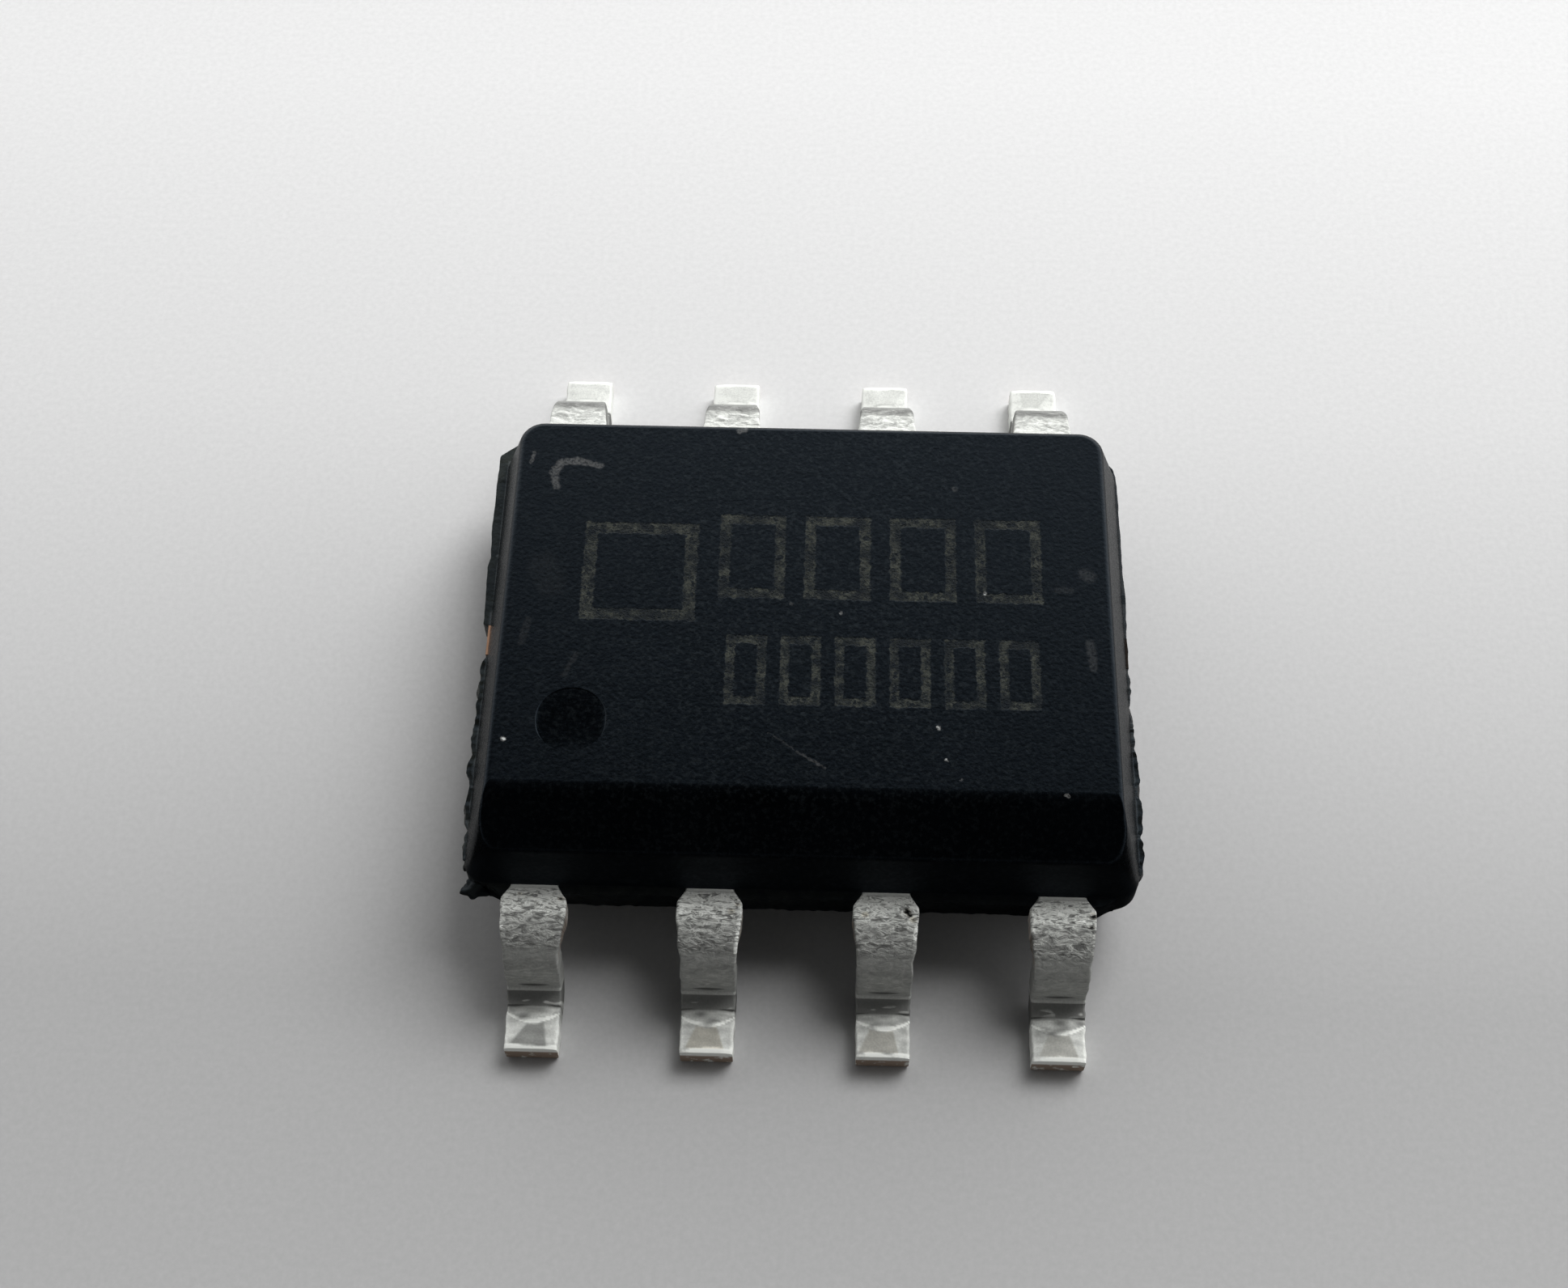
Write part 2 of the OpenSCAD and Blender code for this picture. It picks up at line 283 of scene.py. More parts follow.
def between(place, start, rise, end, fall):
    """Rises from 0 at the start to 1, and falls from 1 at the end to 0."""
    return ease((place - start) / rise) * (1 - ease((place - end) / fall))


def along(table, place):
    """Value at a place in a table of (place, value) in rising order."""
    if place <= table[0][0]:
        return table[0][1]
    for (a, low), (b, high) in zip(table, table[1:]):
        if place <= b:
            return blend(low, high, (place - a) / (b - a)) if b > a else high
    return table[-1][1]


# ---- Moulding ----
def model_block():
    """Drafted block with round upright corners, a chamfer along the front and round rims."""
    begin()
    middle = (MOULD_X, MOULD_Y, (TOP_Z + STANDOFF) / 2)
    size = (BODY_L, BODY_W, TOP_Z - STANDOFF)
    bpy.ops.mesh.primitive_cube_add(size=1, location=middle, scale=size)
    body = bpy.context.object
    body.name = "moulding"
    settle(body)
    edit(body)
    for z in (LEAD_Z, LEAD_TOP):
        select_all()
        bpy.ops.mesh.bisect(plane_co=(0, 0, z), plane_no=(0, 0, 1))
    for face_z, part_z in ((TOP_Z, LEAD_TOP), (STANDOFF, LEAD_Z)):
        inset = 2 * abs(face_z - part_z) * math.tan(DRAFT)
        pick(body, "verts", lambda v: abs(v.co.z - face_z) < NEAR)
        bpy.ops.transform.resize(value=(1 - inset / BODY_L, 1 - inset / BODY_W, 1),
                                 center_override=(MOULD_X, MOULD_Y, face_z))
    pick(body, "edges", lambda e: abs(e.verts[0].co.z - e.verts[1].co.z) > NEAR)
    bpy.ops.mesh.bevel(offset=CORNER_R, segments=8, affect="EDGES")
    edge_y = FRONT_Y + (TOP_Z - LEAD_TOP - CHAMFER) * math.tan(DRAFT)
    select_all()
    bpy.ops.mesh.bisect(plane_co=(0, edge_y, TOP_Z - CHAMFER), plane_no=(0, -1, 1),
                        use_fill=True, clear_outer=True)
    edit(body, "OBJECT")
    round_rims(body, edge_y)
    return body


def round_rims(body, chamfer_y):
    """Rounds the rims, and more softly the edge between the top and the chamfer."""
    rim = EDGE_R * math.tan((math.pi / 2 - DRAFT) / 2) / TOP_BEVEL
    weights = body.data.attributes.new("bevel_weight_edge", "FLOAT", "EDGE")

    def on_chamfer(p):
        return abs((p.z - TOP_Z + CHAMFER) - (p.y - chamfer_y)) < NEAR

    for number, edge in enumerate(body.data.edges):
        a, b = (body.data.vertices[i].co for i in edge.vertices)
        if on_chamfer(a) and on_chamfer(b):
            weights.data[number].value = 1 if min(a.z, b.z) > TOP_Z - NEAR else 0.3
        elif any(max(abs(a.z - z), abs(b.z - z)) < NEAR for z in (TOP_Z, STANDOFF)):
            weights.data[number].value = rim
    modify(body, "BEVEL", width=TOP_BEVEL, segments=6, limit_method="WEIGHT")


def dish_depth(x, y):
    """Depth of the dish at a place measured in radii: a soft slope down from the rear."""
    behind = min((math.sqrt(max(1 - x * x, 0)) - y) / DISH_SLOPE, 1)  # how far the rear rim is
    return DISH_LIP + DISH_DEPTH * (0.5 * ease(behind) + 0.5 * behind * (2 - behind))


def model_punch():
    """The body that leaves the dish beside lead 1. Its front wall is upright."""
    begin()
    lift, rings = 0.1, 20
    bpy.ops.mesh.primitive_cylinder_add(vertices=64, radius=DISH_R, depth=lift,
                                        location=(DISH_X, DISH_Y, TOP_Z + lift / 2))
    punch = bpy.context.object
    edit(punch)
    pick(punch, "faces", lambda f: f.normal.z < -0.9)
    for _ in range(rings - 1):
        bpy.ops.mesh.inset(thickness=DISH_R / rings, depth=0)
    edit(punch, "OBJECT")
    settle(punch)

    def sink(p):
        if p.z > TOP_Z + NEAR:
            return p
        return p - Vector((0, 0, dish_depth((p.x - DISH_X) / DISH_R, (p.y - DISH_Y) / DISH_R)))

    move_points(punch, sink)
    return punch


# Flash at the ends: place along Y as a share of the straight edge, reach as a share of the most
LEFT_PLACES = [(-1, 0.2), (-0.95, 0.3), (-0.84, 0.3), (-0.72, 0.4), (-0.58, 0.5), (-0.43, 0.55),
               (-0.32, 0.5), (-0.13, 0.55), (-0.05, 0.3), (0.01, 0.05), (0.13, 0.05), (0.16, 0.75),
               (0.29, 0.85), (0.46, 1), (0.51, 0.8), (0.68, 1), (1.07, 1), (1.08, 0.9), (1.145, -1)]
RIGHT_PLACES = [(-1, 0.3), (-0.96, 1), (-0.55, 1), (-0.46, 0.85), (-0.3, 0.6), (-0.07, 0.5),
                (0.2, 0.5), (0.37, 0.65), (0.49, 0.45), (0.97, 0.4), (1.03, 0.2), (1.07, -0.2),
                (1.09, -0.9), (1.10, -1.8)]

STRIP_CELL = 0.016  # length of a face of flash or web
JAGS = 0.13         # size of the jags along a broken edge
DENTS = 0.10        # size of the dents beside it
CRUMB_SIZE = (0.095, 0.07, 0.08)


def ragged(place, size, reach, seed):
    """Broken edge: how far it jumps at a place, from two sizes of noise."""
    point = Vector(place) / size + Vector((seed * 7.3, seed * 3.1, seed * 5.7))
    return reach * (1.4 * noise.noise(point) + 0.7 * noise.noise(point * 2.3))


def model_strip(start, end, inner, outline, rough, seed, along_x):
    """A bar of resin as thick as the leads, with a straight inner side and a broken outer one."""
    begin()
    length = end - start
    rows, layers, cuts = int(length / STRIP_CELL), 10, 7
    bpy.ops.mesh.primitive_grid_add(x_subdivisions=rows, y_subdivisions=cuts, size=1)
    strip = bpy.context.object
    edit(strip)
    select_all()
    bpy.ops.mesh.extrude_repeat(steps=layers, offset=(0, 0, 1 / layers))
    edit(strip, "OBJECT")
    close(strip)

    def place(p):
        run = start + (p.x + 0.5) * length
        share = p.y + 0.5
        z = blend(LEAD_Z, LEAD_TOP, p.z)
        out = outline(run)
        wild = rough(run) * ease(share * 1.5 - 0.3)
        jump = ragged((run, 0, z), JAGS, wild, seed)
        side = blend(inner, out + math.copysign(1, out - inner) * jump, share)
        drop = abs(ragged((run, side, 3), DENTS, 0.6 * wild, seed + 5)) * share
        z += drop * (1 - 2 * p.z)
        return Vector((run, side, z)) if along_x else Vector((side, run, z))

    move_points(strip, place)
    close(strip)
    return strip


def end_strip(side):
    """Flash along the left or the right end."""
    straight = BODY_W / 2 - CORNER_R
    places, most = (LEFT_PLACES, FLASH_LEFT) if side < 0 else (RIGHT_PLACES, FLASH_RIGHT)
    edge = LEFT_X if side < 0 else RIGHT_X
    table = [(MOULD_Y + share * straight, out * most) for share, out in places]
    calm_from, wild_from = (0.1, -0.2) if side < 0 else (0.5, -0.4)
    calm, wild = 0.004, 0.022  # how far the broken edge jumps

    def rough(y):
        return blend(calm, wild, ease((calm_from - y) / (calm_from - wild_from)))

    return model_strip(table[0][0], table[-1][0], edge - side * 0.15,
                       lambda y: edge + side * along(table, y), rough, 3 + side, along_x=False)


def side_strip(side):
    """Web that the dam bar held back, along one row of leads."""
    half = BODY_L / 2 - CORNER_R
    edge = FRONT_Y if side < 0 else BACK_Y
    rough = 0.010

    def out(x):
        past_end = ease((half - abs(x - MOULD_X)) / 0.12)
        return edge + side * (0.012 + past_end * (WEB_OUT - 2 * rough))

    return model_strip(MOULD_X - half, MOULD_X + half, edge - side * 0.05, out,
                       lambda x: rough, 11 + side, along_x=True)


def model_corner_crumb():
    """The broken crumb of resin at the front left corner."""
    begin()
    bpy.ops.mesh.primitive_ico_sphere_add(subdivisions=4, radius=1)
    crumb = bpy.context.object
    middle = Vector((LEFT_X + 0.075, FRONT_Y - 0.005, blend(LEAD_Z, LEAD_TOP, 0.45)))

    def place(p):
        jag = 1 + 0.6 * noise.noise(p * 1.2 + Vector((4, 9, 2))) + 0.12 * noise.noise(p * 2.6)
        return middle + Vector([a * size for a, size in zip(p, CRUMB_SIZE)]) * jag

    move_points(crumb, place)
    close(crumb)
    return crumb


def model_moulding():
    body = model_block()
    combine(body, model_punch(), "DIFFERENCE")
    for side in (-1, 1):
        combine(body, end_strip(side), "UNION")
        combine(body, side_strip(side), "UNION")
    combine(body, model_corner_crumb(), "UNION")
    for name in nodes:
        if name != "mold_body":
            combine(body, solid_copy(name), "DIFFERENCE")
    return body


# ---- Leads ----
COLUMNS = 44      # faces across a lead
LAYERS = 12       # faces through its thickness
STEP = 0.0125     # length of a face along it
HIDDEN_STEPS = 9  # faces along what the moulding hides


def model_blank_lead():
    """A lead of even section, from the tip of its finger over both bends to its toe."""
    begin()
    bpy.ops.mesh.primitive_grid_add(x_subdivisions=COLUMNS, y_subdivisions=LAYERS, size=1,
                                    location=(0, FINGER_END, LEAD_TOP - LEAD_T / 2),
                                    rotation=(math.pi / 2, 0, 0))
    lead = bpy.context.object
    lead.scale = (LEG_W, LEAD_T, 1)
    settle(lead)
    edit(lead)
    bpy.ops.mesh.select_mode(type="FACE")
    select_all()
    inside = BODY_W / 2 - NECK_L - FINGER_END
    bpy.ops.mesh.extrude_repeat(steps=HIDDEN_STEPS, offset=(0, inside / HIDDEN_STEPS, 0))
    shown = BEND_START - inside
    shown_steps = int(shown / STEP)
    bpy.ops.mesh.extrude_repeat(steps=shown_steps, offset=(0, shown / shown_steps, 0))
    bend_steps = int(BEND_OUTER * BEND_ANGLE / STEP)
    bpy.ops.mesh.spin(steps=bend_steps, angle=BEND_ANGLE, center=(0, BEND_Y, BEND_Z),
                      axis=(1, 0, 0))
    leg_steps = int(LEG_L / STEP)
    down = Vector((0, math.sin(LEG_LEAN), -math.cos(LEG_LEAN))) * LEG_L / leg_steps
    bpy.ops.mesh.extrude_repeat(steps=leg_steps, offset=down)
    bpy.ops.mesh.spin(steps=bend_steps, angle=-BEND_ANGLE, center=(0, FOOT_Y, BEND_OUTER),
                      axis=(1, 0, 0))
    foot_steps = int((TOE_Y - FOOT_Y) / STEP)
    bpy.ops.mesh.extrude_repeat(steps=foot_steps, offset=(0, (TOE_Y - FOOT_Y) / foot_steps, 0))
    edit(lead, "OBJECT")
    close(lead)
    return lead


def unroll(p):
    """Length along the lead and height above its lower face, for a point of the blank."""
    if p.y <= BEND_Y and p.z > LEAD_Z - 0.02:
        return p.y - FINGER_END, p.z - LEAD_Z
    upper = Vector((p.y - BEND_Y, p.z - BEND_Z))
    angle = math.atan2(upper.y, upper.x)
    if angle >= LEG_LEAN - 1e-5:
        return BEND_START + (math.pi / 2 - angle) * BEND_MIDDLE, upper.length - BEND_R
    lower = Vector((FOOT_Y - p.y, BEND_OUTER - p.z))
    angle = math.atan2(lower.y, lower.x)
    if p.y >= FOOT_Y:
        return FOOT_START + p.y - FOOT_Y, p.z
    if angle >= LEG_LEAN - 1e-5:
        return LEG_END + (angle - LEG_LEAN) * BEND_MIDDLE, BEND_OUTER - lower.length
    outward = Vector((math.cos(LEG_LEAN), math.sin(LEG_LEAN)))
    ahead = Vector((math.sin(LEG_LEAN), -math.cos(LEG_LEAN)))
    return LEG_START + upper.dot(ahead), upper.dot(outward) - BEND_R


def roll(x, s, t):
    """Where a point of the flat lead goes when both bends are made."""
    if s <= BEND_START:
        return Vector((x, FINGER_END + s, LEAD_Z + t))
    if s <= LEG_START:
        angle = math.pi / 2 - (s - BEND_START) / BEND_MIDDLE
        r = BEND_R + t
        return Vector((x, BEND_Y + r * math.cos(angle), BEND_Z + r * math.sin(angle)))
    if s <= LEG_END:
        r, run = BEND_R + t, s - LEG_START
        return Vector((x, BEND_Y + r * math.cos(LEG_LEAN) + run * math.sin(LEG_LEAN),
                       BEND_Z + r * math.sin(LEG_LEAN) - run * math.cos(LEG_LEAN)))
    if s <= FOOT_START:
        angle = LEG_LEAN + (s - LEG_END) / BEND_MIDDLE
        r = BEND_OUTER - t
        return Vector((x, FOOT_Y - r * math.cos(angle), BEND_OUTER - r * math.sin(angle)))
    return Vector((x, FOOT_Y + s - FOOT_START, t))


LEG_HALF = LEG_W / 2 + 0.007  # the leg is a little wider than the foot
HALF_WIDTHS = [(0, FINGER_W / 2), (FINGER_TIP_L, FINGER_W / 2),
               (FINGER_TIP_L + (FINGER_W - NECK_W) / 2, NECK_W / 2), (NECK_S, NECK_W / 2),
               (SHOULDER_S, SHOULDER_W / 2), (BEND_START - 0.08, SHOULDER_W / 2),
               (WRAP_END - 0.03, SHOULDER_W / 2 - 0.022), (WRAP_END + 0.04, LEG_HALF),
               (LEG_END, LEG_HALF), (TOE, LEG_W / 2)]
SECTION_R = 0.018  # rounding of the stamped edges


def rounded(x, t, half):
    """Pulls the corners of the section onto arcs."""
    middle = LEAD_T / 2
    q = Vector((abs(x) - half + SECTION_R, abs(t - middle) - middle + SECTION_R)) / SECTION_R
    if min(q) <= 0:
        return x, t
    q = q * max(q) / q.length
    return (math.copysign(half - SECTION_R + q.x * SECTION_R, x),
            middle + math.copysign(middle - SECTION_R + q.y * SECTION_R, t - middle))


def folds_at(x, s, seed):
    """Long folds across the lead, from 0 in a crease to 1 on a crest."""
    p = Vector((x * 7, s * 19, seed * 3.7))  # folds are longer across than along
    warp = Vector((noise.noise(p * 0.7), noise.noise(p * 0.7 + Vector((5, 2, 8))), 0)) * 1.4
    coarse = 1 - min(abs(noise.noise(p + warp)) * 2.6, 1)
    fine = 0.5 + 0.5 * noise.noise(p * 2.4 + warp)
    return 0.65 * coarse + 0.35 * fine


def wrinkled(s):
    """How much the plating is wrinkled at a length along the lead."""
    return between(s, NECK_S + 0.005, 0.02, BEND_START + 0.11, 0.08)


def skin_zone(s):
    """Where the wrinkles have height: over the shoulder, fading out over the upper bend."""
    return between(s, NECK_S + 0.02, 0.04, BEND_START + 0.02, 0.14)


WRINKLE_DEPTH = 0.010

# Pits and notches in the skin of single leads: lead, place across, place along, radius, depth
PITS = [(3, -0.150, 2.095, 0.026, 0.034), (3, -0.170, 2.125, 0.024, 0.024),
        (3, -0.195, 2.16, 0.034, 0.007), (3, 0.15, 2.13, 0.034, 0.007),
        (2, -0.16, 2.13, 0.030, 0.010), (2, -0.205, 2.07, 0.020, 0.014),
        (4, -0.215, 2.10, 0.030, 0.022), (4, -0.20, 2.19, 0.022, 0.018),
        (1, 0.10, 2.03, 0.016, 0.010), (1, -0.20, 2.06, 0.026, 0.012),
        (6, 0.12, 2.12, 0.024, 0.014), (8, -0.14, 2.10, 0.020, 0.016)]


def pit(x, s, number):
    """Depth of the pits of one lead at a point. They are longer across it than along it."""
    depth = 0
    for lead, across, y, radius, deep in PITS:
        if lead == number:
            away = math.hypot(x - across, (s + FINGER_END - y) * 1.3)
            depth = max(depth, deep * bump(away, radius * 1.3))
    return depth


def arc_line(x, half):
    """Place of the curved tool line across the foot."""
    return FOOT_Y + 0.137 - 0.080 * (x / half) ** 2


# Flat top of the plating's mound on each foot: its left and right side where it starts and its left
# and right side at the toe, in half widths of the foot, how brown it is, and how pale it is painted
# (its darkness a painted reflection)
MOUNDS = [((-0.45, 0.18), (-0.59, 0.77), 0.0, 0.25), ((-0.36, 0.44), (-0.63, 0.79), 0.8, 0.37),
          ((-0.39, 0.52), (-0.57, 0.89), 0.5, 0.37), ((-0.40, 0.40), (-0.70, 0.75), 0.3, 0.39)]
MOUND_END = TOE_Y - 0.034

# Tool marks across the lower bend: their place along the lead
LINE_S = LEG_END + 0.096    # a pale raised line
CREASE_S = LEG_END + 0.016  # a short crease above it, with painted shadow in it


def mound_of(number):
    """Leads behind have the same mounds as those in front."""
    return MOUNDS[(number - 1) % SIDE_LEADS]


def beside_mound(x, y, half, number):
    """How far a point of the foot lies beside the mound's flat top, in millimetres."""
    starts, ends, _, _ = mound_of(number)
    start = arc_line(0, half)
    share = min(max((y - start) / (MOUND_END - start), 0), 1)
    left, right = (blend(a, b, share) * half for a, b in zip(starts, ends))
    return max(left - x, x - right)


def foot_drop(x, y, half, number):
    """How far the top of the foot lies under its highest level."""
    beside = max(beside_mound(x, y, half, number) + 0.004, 0)
    ahead = max(y - MOUND_END, 0)
    behind = bump(y - arc_line(x, half) + 0.012, 0.022)
    return min(0.20 * beside + 0.08 * ahead, 0.022) + 0.004 * behind


# How pale the plating is painted along a lead, with light and shade painted in: a paler neck and
# white shoulder as painted light, a darker bend and leg and a dark band above the foot as painted
# reflections
TONES_AND_LIGHT = [(NECK_S - 0.02, 1.30), (NECK_S + 0.015, 1.30), (NECK_S + 0.030, 1.60),
         (NECK_S + 0.120, 1.60), (BEND_START - 0.08, 1.10), (BEND_START - 0.02, 0.52),
         (BEND_START + 0.05, 0.27), (BEND_START + 0.10, 0.19), (BEND_START + 0.18, 0.30),
         (LINE_S - 0.035, 0.34), (LINE_S - 0.02, 0.52), (LINE_S + 0.018, 0.52),
         (LINE_S + 0.03, 0.14), (FOOT_START + 0.005, 0.13), (FOOT_START + 0.02, 0.60)]
DARKEST, PALEST = 0.01, 1.6

# How matte it is along a lead in front, and on all of a lead behind
DULLNESS = [(BEND_START - 0.08, 0.94), (BEND_START + 0.05, 0.80), (LEG_END - 0.04, 0.76),
            (LEG_END + 0.04, 0.92)]
REAR_DULLNESS = 0.95
REAR_WRINKLES = 0.35  # leads behind are less wrinkled, so less painted shade falls in their creases

# Painted highlights along stamped edges: lead, side, from and to along the lead, how bright
EDGE_HIGHLIGHTS = [(2, -1, 0.83, 1.14, 1.4), (3, -1, 0.90, 1.06, 0.9), (1, -1, 0.78, 0.92, 1.2),
                (4, 1, 0.82, 1.00, 0.9), (1, 1, 0.82, 1.05, 0.7), (2, 1, 0.80, 0.98, 0.8)]


def tone_and_light_at(x, s, half, number, seed):
    """How pale the plating is painted, with its light and shade: 0 is black, 1 is white, and more
    stays white in its wrinkles.
    """
    u = x / half
    wild = wrinkled(s)
    shift = 0.030 * noise.noise(Vector((x * 7, s * 5, seed + 2)))
    patches = blend(0.6, 1.2, folds_at(x, s, seed))
    tone_and_light = along(TONES_AND_LIGHT, s + shift * wild) * blend(1, patches, wild)
    # painted shadow in the short crease above the pale tool line
    crease_w = 0.044 * max(1 - (u / 0.60) ** 2, 0) + 1e-4
    tone_and_light = blend(tone_and_light, DARKEST, bump(s - CREASE_S, crease_w))
    # painted highlights along stamped edges
    for lead, side, start, end, bright in EDGE_HIGHLIGHTS:
        if lead == number and start < s < end:
            tone_and_light = blend(tone_and_light, bright, ease((u * side - 0.86) / 0.08))
    # painted glints on the dark band above the foot
    glint = noise.noise(Vector((x * 9, s * 22, seed + 6)))
    in_band = bump(s - FOOT_START + 0.06, 0.07)
    tone_and_light = blend(tone_and_light, 0.6, in_band * ease((glint - 0.26) / 0.12))
    if s > FOOT_START:
        tone_and_light = foot_tone_and_light(tone_and_light, x, s, half, number, glint)
    return min(max(tone_and_light, DARKEST), PALEST)


def foot_tone_and_light(tone_and_light, x, s, half, number, glint):
    """The same on the foot, with painted light and shade: dark cap, curved tool line painted bright
    as a reflection, mound with painted highlights on its sides, and a painted highlight on the toe.
    """
    y = s - FOOT_START + FOOT_Y
    u = x / half
    past_line = y - arc_line(x, half)
    cap = blend(tone_and_light, 0.46 + 0.5 * glint, ease((s - FOOT_START - 0.015) / 0.01))
    flat = mound_of(number)[3] * (1 + 0.3 * glint)
    sides = 0.54 + 0.25 * glint + 0.25 * ease((abs(u) - 0.8) / 0.2)
    mound = blend(flat, sides, ease(beside_mound(x, y, half, number) / 0.022 + 0.5))
    tone_and_light = blend(cap, mound, ease(past_line / 0.01))
    line_w = 0.008 + 0.011 * max(1 - u * u, 0)  # the line is a crescent
    on_line = ease(bump(past_line + line_w, 1.25 * line_w) * 1.6)
    tone_and_light = blend(tone_and_light, 1.2, on_line * min(1, 1.0 + 1.5 * glint))
    on_toe = ease((y - MOUND_END - 0.002 + 0.014 * glint) / 0.008)
    return blend(tone_and_light, 1.15 + 0.6 * glint, on_toe)


def pressed(x, s, t, u, half, number, seed, hollow):
    """Height of a point once the skin is wrinkled and pitted and the tools have pressed it."""
    top = ease((t - 0.6 * LEAD_T) / (0.4 * LEAD_T))
    low = 1 - ease(t / (0.5 * LEAD_T))
    line = 0.005 * bump(s - LINE_S, 0.035)
    crease = 0.008 * bump(s - CREASE_S, 0.024) * max(1 - 1.6 * u * u, 0)
    rise = skin_zone(s) * WRINKLE_DEPTH * (folds_at(x, s, seed) - 1) - hollow + line - crease
    if s > FOOT_START:
        rise -= foot_drop(x, s - FOOT_START + FOOT_Y, half, number)
    toe_edge = 0.004 * ease((s - TOE + 0.02) / 0.02)
    return t + top * (rise - toe_edge) + low * toe_edge


def plating_and_light_at(x, s, t, u, half, number, seed, hollow):
    """Finish of the plating at a point, with its painted light and shade: what each attribute of
    the lead says there.
    """
    front = number <= SIDE_LEADS
    y = s - FOOT_START + FOOT_Y
    tone_and_light = tone_and_light_at(x, s, half, number, seed)
    if not front:  # painted light: paler, but for the leg, for the brighter light on leads behind
        on_leg = between(s, BEND_START + 0.04, 0.06, FOOT_START, 0.02)
        tone_and_light = blend(0.50 + 0.85 * tone_and_light, tone_and_light, on_leg)
    beside = ease(beside_mound(x, y, half, number) / 0.01 + 0.5)
    on_mound = ease((s - FOOT_START) / 0.02) * (1 - beside)
    on_mound *= between(y, arc_line(x, half), 0.006, MOUND_END, 0.006)
    brown = mound_of(number)[2] * on_mound if front else 0
    faint = 0.3 * between(s, BEND_START, 0.1, LEG_END - 0.05, 0.05)
    cut_side = ease((abs(u) - 0.985) / 0.01) * between(s, NECK_S, 0.05, WRAP_END + 0.05, 0.05)
    cut_side *= 0.6 * (1 - ease((t - 0.14) / 0.03))
    cut_toe = ease((s - TOE + 0.004) / 0.004) * (1 - ease((t - 0.115) / 0.02))
    # pits are darkened with painted shade
    return {"tone_and_light": blend(tone_and_light, DARKEST, ease(hollow / 0.012)),
            "matte": max(along(DULLNESS, s) if front else REAR_DULLNESS, ease(hollow / 0.01)),
            "brown": max(brown, bump(hollow - 0.006, 0.006)),
            "wrinkles": max(wrinkled(s), faint) * (1 if front else REAR_WRINKLES),
            "copper": max(cut_side, cut_toe)}


def shape_lead(lead, number):
    """Widths, stamped edges, wrinkles, tool marks, wear and painted light and shade of one lead."""
    seed = 17 + number * 1.37
    names = ("copper", "tone_and_light", "matte", "brown", "wrinkles")
    for name in names:
        lead.data.attributes.new(name, "FLOAT", "POINT")
    lead.data.attributes.new("flat", "FLOAT_VECTOR", "POINT")
    flat = lead.data.attributes["flat"].data  # a new attribute moves the ones before it
    marks = {name: lead.data.attributes[name].data for name in names}
    for vertex in lead.data.vertices:
        s, t = unroll(vertex.co)
        half = along(HALF_WIDTHS, s)
        u = vertex.co.x / (LEG_W / 2)
        x, t = rounded(u * half, t, half)
        side_noise = noise.noise(Vector((math.copysign(9, u), s * 14, seed)))
        edge = ease((abs(u) - 0.8) / 0.2) * ease((s - NECK_S) / 0.05)
        x += math.copysign(0.008, u) * edge * side_noise
        hollow = pit(x, s, number)
        t = pressed(x, s, t, u, half, number, seed, hollow)
        vertex.co = roll(x, s, t)
        flat[vertex.index].vector = (x, s, seed)
        for name, value in plating_and_light_at(x, s, t, u, half, number, seed, hollow).items():
            marks[name][vertex.index].value = value


def turn_to_place(lead, number):
    """Leads 1 to 4 run left to right in front, and 5 to 8 right to left behind."""
    front = number <= SIDE_LEADS
    column = number - 1 if front else 2 * SIDE_LEADS - number
    x = (column - (SIDE_LEADS - 1) / 2) * LEAD_PITCH
    turn = Matrix.Rotation(math.pi if front else 0, 4, "Z")
    lead.data.transform(Matrix.Translation((x, 0, 0)) @ turn)


# ---- Shader helpers ----
def feed(tree, fed, inputs):
    """Each input of a shader node gets a value, or the output that feeds it."""
    for key, value in inputs.items():
        if isinstance(value, bpy.types.NodeSocket):
            tree.links.new(value, fed.inputs[key])
        else:
            fed.inputs[key].default_value = value


def node(tree, kind, inputs=None, **settings):
    new = tree.nodes.new("ShaderNode" + kind)
    for name, value in settings.items():
        setattr(new, name, value)
    feed(tree, new, inputs or {})
    return new


def calc(tree, operation, *values, clamp=False):
    inputs = dict(enumerate(values))
    return node(tree, "Math", inputs, operation=operation, use_clamp=clamp).outputs[0]


def product(tree, first, *others, clamp=False):
    for other in others[:-1]:
        first = calc(tree, "MULTIPLY", first, other)
    return calc(tree, "MULTIPLY", first, others[-1], clamp=clamp)


def mix(tree, share, a, b):
    """Mixes two colours."""
    return node(tree, "Mix", {0: share, 6: a, 7: b}, data_type="RGBA").outputs[2]


def mix_value(tree, share, a, b):
    """Mixes two values."""
    return node(tree, "Mix", {0: share, 2: a, 3: b}).outputs[0]


def vector(tree, operation, a, b=None):
    new = node(tree, "VectorMath", {0: a} if b is None else {0: a, 1: b}, operation=operation)
    return new.outputs["Value" if operation in ("DOT_PRODUCT", "LENGTH") else "Vector"]


def scaled(tree, a, scale):
    return node(tree, "VectorMath", {0: a, "Scale": scale}, operation="SCALE").outputs[0]


def bumped(tree, height, strength, distance, under=None):
    """Normal of a surface with a height. The distance is in millimetres."""
    inputs = {"Height": height, "Strength": strength, "Distance": distance * MM}
    return node(tree, "Bump", inputs | ({"Normal": under} if under else {})).outputs[0]


def place_in_mm(tree):
    """Object coordinates in millimetres."""
    return scaled(tree, node(tree, "TexCoord").outputs["Object"], 1 / MM)


def noise_of(tree, spot, scale, detail=3, rough=0.5):
    inputs = {"Vector": spot, "Scale": scale, "Detail": detail, "Roughness": rough}
    return node(tree, "TexNoise", inputs).outputs["Fac"]


